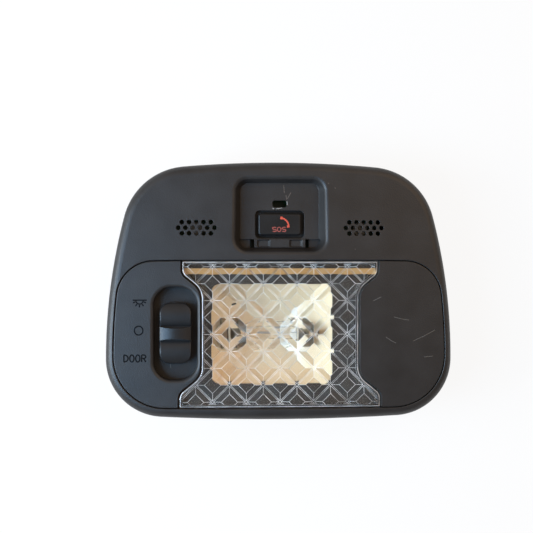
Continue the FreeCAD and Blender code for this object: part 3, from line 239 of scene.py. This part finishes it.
def grained(name, color, roughness, grain_size, grain_depth, wear, specular=0.5):
    """Moulded plastic with a fine grain, and a little uneven sheen from handling."""
    made, tree, links = new_material(name)
    shader = tree["Principled BSDF"]
    shader.inputs["Specular IOR Level"].default_value = specular
    place = tree.new("ShaderNodeTexCoord")

    grain = tree.new("ShaderNodeTexVoronoi")
    grain.feature = "SMOOTH_F1"
    grain.inputs["Scale"].default_value = 1 / grain_size
    links.new(place.outputs["Object"], grain.inputs["Vector"])
    bump = tree.new("ShaderNodeBump")
    bump.inputs["Strength"].default_value = GRAIN_STRENGTH
    bump.inputs["Distance"].default_value = grain_depth
    links.new(grain.outputs["Distance"], bump.inputs["Height"])
    soft = tree.new("ShaderNodeBevel")
    soft.samples = MOULDED_EDGE_SAMPLES
    soft.inputs["Radius"].default_value = MOULDED_EDGE
    links.new(soft.outputs["Normal"], bump.inputs["Normal"])
    links.new(bump.outputs["Normal"], shader.inputs["Normal"])

    cloud = tree.new("ShaderNodeTexNoise")
    cloud.inputs["Scale"].default_value = CLOUD_SCALE
    cloud.inputs["Detail"].default_value = CLOUD_DETAIL
    links.new(place.outputs["Object"], cloud.inputs["Vector"])
    tone = tree.new("ShaderNodeValToRGB")
    worn = [c * (1 + wear) + TONE_LIFT * wear for c in color]
    for element, position, shown in zip(tone.color_ramp.elements, TONE_RANGE, (color, worn)):
        element.position = position
        element.color = (*shown, 1)
    links.new(cloud.outputs["Fac"], tone.inputs["Fac"])
    links.new(tone.outputs["Color"], shader.inputs["Base Color"])
    sheen = tree.new("ShaderNodeMapRange")
    sheen.inputs["To Min"].default_value = roughness + SHEEN_RANGE[0]
    sheen.inputs["To Max"].default_value = roughness + SHEEN_RANGE[1]
    links.new(cloud.outputs["Fac"], sheen.inputs["Value"])
    links.new(sheen.outputs["Result"], shader.inputs["Roughness"])
    return made


def add_painted_edge_highlights(tree, links, radius):
    """Round the edges of a clear piece and make them pale and less clear there, painted highlights that
    show as pale lines.
    """
    shader = tree["Principled BSDF"]
    soft = tree.new("ShaderNodeBevel")
    soft.samples = EDGE_SAMPLES
    soft.inputs["Radius"].default_value = radius
    links.new(soft.outputs["Normal"], shader.inputs["Normal"])
    flat = tree.new("ShaderNodeNewGeometry")
    turn = tree.new("ShaderNodeVectorMath")
    turn.operation = "DOT_PRODUCT"
    links.new(soft.outputs["Normal"], turn.inputs[0])
    links.new(flat.outputs["True Normal"], turn.inputs[1])
    line = tree.new("ShaderNodeValToRGB")
    steps = line.color_ramp.elements
    steps[0].position = EDGE_STEPS[0][0]
    steps[1].position = EDGE_STEPS[-1][0]
    for position, _ in EDGE_STEPS[1:-1]:
        steps.new(position)
    for step, (_, clearness) in zip(steps, EDGE_STEPS):
        step.color = (clearness, clearness, clearness, 1)
    links.new(turn.outputs["Value"], line.inputs["Fac"])

    patch = tree.new("ShaderNodeTexNoise")
    patch.inputs["Scale"].default_value = FADE_SCALE
    place = tree.new("ShaderNodeTexCoord")
    links.new(place.outputs["Object"], patch.inputs["Vector"])
    fade = tree.new("ShaderNodeMapRange")
    fade.inputs["From Min"].default_value = FADE_RANGE[0]
    fade.inputs["From Max"].default_value = FADE_RANGE[1]
    fade.inputs["To Min"].default_value = EDGE_FADE[0]
    fade.inputs["To Max"].default_value = EDGE_FADE[1]
    links.new(patch.outputs["Fac"], fade.inputs["Value"])
    clearer = tree.new("ShaderNodeMath")
    clearer.operation = "MAXIMUM"
    links.new(line.outputs["Color"], clearer.inputs[0])
    links.new(fade.outputs["Result"], clearer.inputs[1])
    # Pale, less clear plastic along the edges paints their highlights
    links.new(clearer.outputs[0], shader.inputs["Transmission Weight"])


def clear(name, color, roughness, ior, edge=0.0, shade=1.0):
    """See-through plastic or glass that passes the lamps' light on, with pale edges painted as highlights
    if asked for.
    """
    made, tree, links = new_material(name)
    shader = tree["Principled BSDF"]
    shader.inputs["Base Color"].default_value = (*color, 1)
    shader.inputs["Roughness"].default_value = roughness
    shader.inputs["IOR"].default_value = ior
    shader.inputs["Transmission Weight"].default_value = 1.0
    if edge:
        add_painted_edge_highlights(tree, links, edge)
    open_way = tree.new("ShaderNodeBsdfTransparent")
    open_way.inputs["Color"].default_value = (*[c * shade for c in color], 1)
    ray = tree.new("ShaderNodeLightPath")
    mix = tree.new("ShaderNodeMixShader")
    links.new(ray.outputs["Is Shadow Ray"], mix.inputs[0])
    links.new(shader.outputs[0], mix.inputs[1])
    links.new(open_way.outputs[0], mix.inputs[2])
    links.new(mix.outputs[0], tree["Material Output"].inputs["Surface"])
    return made


def dress_nodes():
    """Give each node the material of its slot in the record."""
    materials = {}
    for make, looks in ((grained, GRAINED_LOOKS), (clear, CLEAR_LOOKS), (plain, PLAIN_LOOKS)):
        for slot, look in looks.items():
            materials[slot] = make(slot, **look)
    for part in frame["record"]["subparts"]:
        mesh = nodes[part["node"]].data
        mesh.materials.clear()
        mesh.materials.append(materials[part["material_slot"]])


def box_points(left, bottom, right, top, low, high):
    """Corners of an upright box, the lower four first."""
    ring = [(left, bottom), (right, bottom), (right, top), (left, top)]
    return [(x, y, z) for z in (low, high) for x, y in ring]


def ring_faces(here, there):
    """Faces between two rings of four points, by the number of each ring's first point."""
    faces = []
    for i in range(4):
        n = (i + 1) % 4
        faces.append((here + i, here + n, there + n, there + i))
    return faces


def add_floor():
    """Pale floor with a low backdrop all round."""
    low = cad_low.z - FLOOR_GAP
    points = box_points(-FLOOR_HALF, -FLOOR_HALF, FLOOR_HALF, FLOOR_HALF, low, low + BACKDROP_HEIGHT)
    mesh = bpy.data.meshes.new("floor")
    mesh.from_pydata(points, [], [(0, 1, 2, 3)] + ring_faces(4, 0))
    floor = bpy.data.objects.new("floor", mesh)
    scene.collection.objects.link(floor)

    made, tree, links = new_material("floor")
    shade = tree["Principled BSDF"]
    shade.inputs["Base Color"].default_value = (FLOOR_GREY, FLOOR_GREY, FLOOR_GREY, 1)
    shade.inputs["Roughness"].default_value = FLOOR_ROUGHNESS
    shade.inputs["Specular IOR Level"].default_value = 0.0
    glow = tree.new("ShaderNodeEmission")
    glow.inputs["Strength"].default_value = 1.0
    ray = tree.new("ShaderNodeLightPath")
    seen = ray.outputs["Is Camera Ray"]
    for kind in ("Is Glossy Ray", "Is Transmission Ray"):
        either = tree.new("ShaderNodeMath")
        either.operation = "MAXIMUM"
        links.new(seen, either.inputs[0])
        links.new(ray.outputs[kind], either.inputs[1])
        seen = either.outputs[0]
    share = tree.new("ShaderNodeMath")
    share.operation = "MULTIPLY"
    share.inputs[1].default_value = FLOOR_GLOW_SHARE
    links.new(seen, share.inputs[0])
    mix = tree.new("ShaderNodeMixShader")
    links.new(share.outputs[0], mix.inputs[0])
    links.new(shade.outputs[0], mix.inputs[1])
    links.new(glow.outputs[0], mix.inputs[2])
    links.new(mix.outputs[0], tree["Material Output"].inputs["Surface"])
    mesh.materials.append(made)


def add_lamp(name, place, size, power, color):
    """Round lamp that points at the middle of the part."""
    data = bpy.data.lights.new(name, "AREA")
    data.shape = "DISK"
    data.size = size
    data.energy = power
    data.color = color
    lamp = bpy.data.objects.new(name, data)
    scene.collection.objects.link(lamp)
    lamp.location = place
    lamp.rotation_mode = "QUATERNION"
    lamp.rotation_quaternion = (Vector(LIGHT_TARGET) - Vector(place)).to_track_quat("-Z", "Y")


def add_light():
    """Warm room with cool windows on the left."""
    world = bpy.data.worlds.new("studio")
    world.use_nodes = True
    background = world.node_tree.nodes["Background"]
    background.inputs["Color"].default_value = (*ROOM_COLOR, 1)
    background.inputs["Strength"].default_value = ROOM_STRENGTH
    scene.world = world
    add_lamp("window_left", (-0.42, -0.10, 0.52), size=0.36, power=3.8, color=(0.31, 0.62, 1.0))
    add_lamp("window_low", (-0.62, -0.06, 0.33), size=0.35, power=4.6, color=(0.80, 0.91, 1.0))
    add_lamp("room_right", (0.7, 0.6, 1.0), size=1.2, power=6.0, color=(1.0, 0.68, 0.42))
    add_lamp("room_left", (-0.7, 0.6, 1.0), size=1.2, power=2.5, color=(1.0, 0.80, 0.62))


def add_camera():
    aim_x, aim_y = at_px(IMAGE_SIZE / 2, IMAGE_SIZE / 2)
    aim = Vector((aim_x, aim_y, SCALE_HEIGHT))
    back = Vector((-math.sin(CAMERA_LEFT), 0, math.cos(CAMERA_LEFT)))
    data = bpy.data.cameras.new("camera")
    camera = bpy.data.objects.new("camera", data)
    scene.collection.objects.link(camera)
    frame_width = IMAGE_SIZE * MM_PER_PX * MM
    data.sensor_width = SENSOR_WIDTH
    data.lens = SENSOR_WIDTH * CAMERA_DISTANCE / frame_width
    camera.location = aim + back * CAMERA_DISTANCE
    right = Vector((0, 1, 0)).cross(back).normalized()
    up = back.cross(right)
    turn = Matrix((right, up, back)).transposed().to_4x4()
    camera.matrix_world = Matrix.Translation(camera.location) @ turn
    data.clip_start = CLIP_START
    data.clip_end = CLIP_END
    scene.camera = camera


def camera_ray(x, y):
    """Start and direction of the camera's sight line through a pixel of the photograph."""
    camera = scene.camera
    width = camera.data.sensor_width / camera.data.lens
    across = (x - IMAGE_SIZE / 2) / IMAGE_SIZE * width
    upward = (IMAGE_SIZE / 2 - y) / IMAGE_SIZE * width
    turn = camera.matrix_world.to_3x3()
    return camera.location.copy(), (turn @ Vector((across, upward, -1))).normalized()


surfaces = {}


def on_surface(node, x, y):
    """Where the sight line through a pixel meets a piece."""
    if node not in surfaces:
        mesh = nodes[node].data
        points = [vertex.co for vertex in mesh.vertices]
        faces = [polygon.vertices for polygon in mesh.polygons]
        surfaces[node] = BVHTree.FromPolygons(points, faces)
    start, direction = camera_ray(x, y)
    return surfaces[node].ray_cast(start, direction)[0]


def add_mesh(name, points, faces, material, body):
    mesh = bpy.data.meshes.new(name)
    mesh.from_pydata(points, [], faces)
    mesh.materials.append(material)
    made = bpy.data.objects.new(name, mesh)
    scene.collection.objects.link(made)
    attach(made, body)


def ribbons(name, node, body, material, paths, width, height=PRINT_HEIGHT):
    """Thin raised lines on a piece, each along the pixels of a path; a closed path ends where it began."""
    points = []
    faces = []
    top = Vector((0, 0, height))
    for path in paths:
        spine = [on_surface(node, x, y) for x, y in path]
        closed = path[0] == path[-1]
        if closed:
            spine = spine[:-1]
        count = len(spine)
        first = len(points)
        for i, point in enumerate(spine):
            before = spine[i - 1] if i > 0 or closed else point
            after = spine[(i + 1) % count] if i < count - 1 or closed else point
            along = (after - before).normalized()
            aside = Vector((-along.y, along.x, 0)) * width / 2
            points += [point + aside + top, point - aside + top, point - aside - top, point + aside - top]
        for i in range(count if closed else count - 1):
            faces += ring_faces(first + 4 * i, first + 4 * ((i + 1) % count))
        if not closed:
            last = first + 4 * (count - 1)
            faces.append((first + 3, first + 2, first + 1, first))
            faces.append((last, last + 1, last + 2, last + 3))
    add_mesh(name, points, faces, material, body)


def bow(centre, radii, start, end, steps=14):
    """Pixels along an ellipse between two angles in degrees, counted from the right and upwards."""
    path = []
    for i in range(steps + 1):
        angle = math.radians(start + (end - start) * i / steps)
        path.append((centre[0] + radii[0] * math.cos(angle), centre[1] - radii[1] * math.sin(angle)))
    if end - start == 360:
        path[-1] = path[0]
    return path


def letter(sign, left, top, width, height):
    """Strokes of a plain capital D, O, R or S in a box of pixels."""
    right = left + width
    bottom = top + height
    middle = (top + bottom) / 2
    centre = (left + right) / 2
    stem = [(left, bottom), (left, top)]
    upper = (centre, (top + middle) / 2)
    lower = (centre, (bottom + middle) / 2)
    half_radii = (width / 2, height / 4)
    if sign == "O":
        return [bow((centre, middle), (width / 2, height / 2), 90, 450, steps=24)]
    if sign == "D":
        return [stem, bow((left, middle), (width, height / 2), 90, -90, steps=16)]
    if sign == "R":
        bowl = bow(upper, half_radii, 90, -90, steps=12)
        leg = [(centre, middle), (right, bottom)]
        return [stem, [(left, top)] + bowl + [(left, middle)], leg]
    return [bow(upper, half_radii, 30, 270) + bow(lower, half_radii, 90, -150)[1:]]


def word(text, corner, size, pitch):
    """Strokes of a word, from the upper left corner of its first letter."""
    strokes = []
    for i, sign in enumerate(text):
        strokes += letter(sign, corner[0] + i * pitch, corner[1], *size)
    return strokes


def add_bezel():
    """The bezel with the two pads of its hinge bar sunk below the bar's top."""
    mesh = nodes["bezel"].data.copy()
    for vertex in mesh.vertices:
        side = math.copysign(1, vertex.co.x)
        away_x = vertex.co.x - side * PAD_MIDDLE[0]
        away_y = vertex.co.y - PAD_MIDDLE[1]
        if vertex.co.z < BAR_TOP + PAD_RISE / 2 or abs(away_x) > PAD_HALF[0] or abs(away_y) > PAD_HALF[1]:
            continue
        vertex.co.x = side * PAD_MIDDLE[0] + away_x * PAD_BOTTOM_SHARE[0]
        vertex.co.y = PAD_MIDDLE[1] + away_y * PAD_BOTTOM_SHARE[1]
        vertex.co.z = BAR_TOP - PAD_SINK
    # The stored normals belong to the old shape
    if "custom_normal" in mesh.attributes:
        mesh.attributes.remove(mesh.attributes["custom_normal"])
    made = bpy.data.objects.new("bezel_cover", mesh)
    scene.collection.objects.link(made)
    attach(made, "lamp")
    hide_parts("bezel")


def lamp_sign():
    """Strokes of the lamp sign: its base line, its bowl and the rays below."""
    radii = (LAMP_SIGN_RADIUS, LAMP_SIGN_RADIUS)
    strokes = [LAMP_SIGN_BASE, bow(LAMP_SIGN, radii, 180, 360)]
    for degrees in LAMP_SIGN_RAY_ANGLES:
        angle = math.radians(degrees)
        ray = []
        for reach in LAMP_SIGN_RAY_REACH:
            ray.append((LAMP_SIGN[0] + reach * math.cos(angle), LAMP_SIGN[1] - reach * math.sin(angle)))
        strokes.append(ray)
    return strokes


def add_legends():
    """Switch legends on the panel, darkened with painted shade for their engraved grooves, and the mark and
    letters printed on the call key.
    """
    # The dark colour paints the shade inside the engraved legend grooves; their matte finish is their own
    dark = plain("legend_painted_groove_shade", (0.005, 0.0055, 0.006), roughness=0.9, specular=0.15)
    ring = bow(RING_SIGN, RING_SIGN_RADII, 0, 360, steps=32)
    door = word("DOOR", DOOR_CORNER, DOOR_LETTER, DOOR_PITCH)
    ribbons("legend_lamp", "lens_panel", "lamp", dark, lamp_sign(), LEGEND_LINE)
    ribbons("legend_ring", "lens_panel", "lamp", dark, [ring], LEGEND_LINE)
    ribbons("legend_door", "lens_panel", "lamp", dark, door, LEGEND_LINE)

    red = plain("call_red", (0.62, 0.085, 0.045), roughness=0.55)
    dull_red = plain("call_letter_red", (0.36, 0.075, 0.055), roughness=0.6)
    handset = bow(HANDSET, (HANDSET_RADIUS, HANDSET_RADIUS), *HANDSET_ANGLES, steps=16)
    letters = word("SOS", SOS_CORNER, SOS_LETTER, SOS_PITCH)
    ribbons("call_handset", "call_button", "call_key", red, [handset], HANDSET_LINE)
    ribbons(
        "call_handset_ends", "call_button", "call_key", red, HANDSET_ENDS,
        HANDSET_END_LINE, HANDSET_END_HEIGHT)
    ribbons("call_letters", "call_button", "call_key", dull_red, letters, SOS_LINE)


def add_painted_reflection_strip():
    """A warm-coloured strip along the back of the lens near its top, painting the warm reflection that lies
    across it.
    """
    # The warm colour paints the reflection of warm light across the lens' top
    warm = plain("lens_painted_reflection", (0.39, 0.225, 0.08), roughness=0.5)
    left, top = at_px(*BAND_TOP_LEFT)
    right, bottom = at_px(*BAND_BOTTOM_RIGHT)
    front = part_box("lens")[0].z + LENS_RIM_HEIGHT
    points = box_points(left, bottom, right, top, front - BAND_THICKNESS, front)
    faces = [(3, 2, 1, 0), (4, 5, 6, 7)] + ring_faces(0, 4)
    add_mesh("lens_painted_reflection", points, faces, warm, "lamp")


def add_dirt():
    """Speck on the lens."""
    dirt = plain("dirt", (0.04, 0.03, 0.02), roughness=0.9)
    ribbons("lens_speck", "lens", "lamp", dirt, [LENS_SPECK], SPECK_LINE, SPECK_HEIGHT)


def add_wear():
    """Scratches and chips that the photograph shows."""
    pale = plain("scratch", (0.13, 0.12, 0.105), roughness=0.6)
    chip = plain("chip", (0.25, 0.24, 0.225), roughness=0.7)
    warm = plain("bezel_scratch", (0.105, 0.085, 0.07), roughness=0.6)
    ribbons(
        "panel_scratches", "lens_panel", "lamp", pale, PANEL_SCRATCHES,
        PANEL_SCRATCH_LINE, SCRATCH_HEIGHT)
    ribbons("bezel_scratches", "bezel", "lamp", warm, BEZEL_SCRATCHES, BEZEL_SCRATCH_LINE, SCRATCH_HEIGHT)
    ribbons("catch_chips", "bezel", "lamp", chip, CATCH_CHIPS, CHIP_LINE, CHIP_HEIGHT)


dress_nodes()
add_floor()
add_light()
add_camera()
add_bezel()
add_legends()
add_painted_reflection_strip()
add_dirt()
add_wear()
scene.view_settings.view_transform = "Standard"
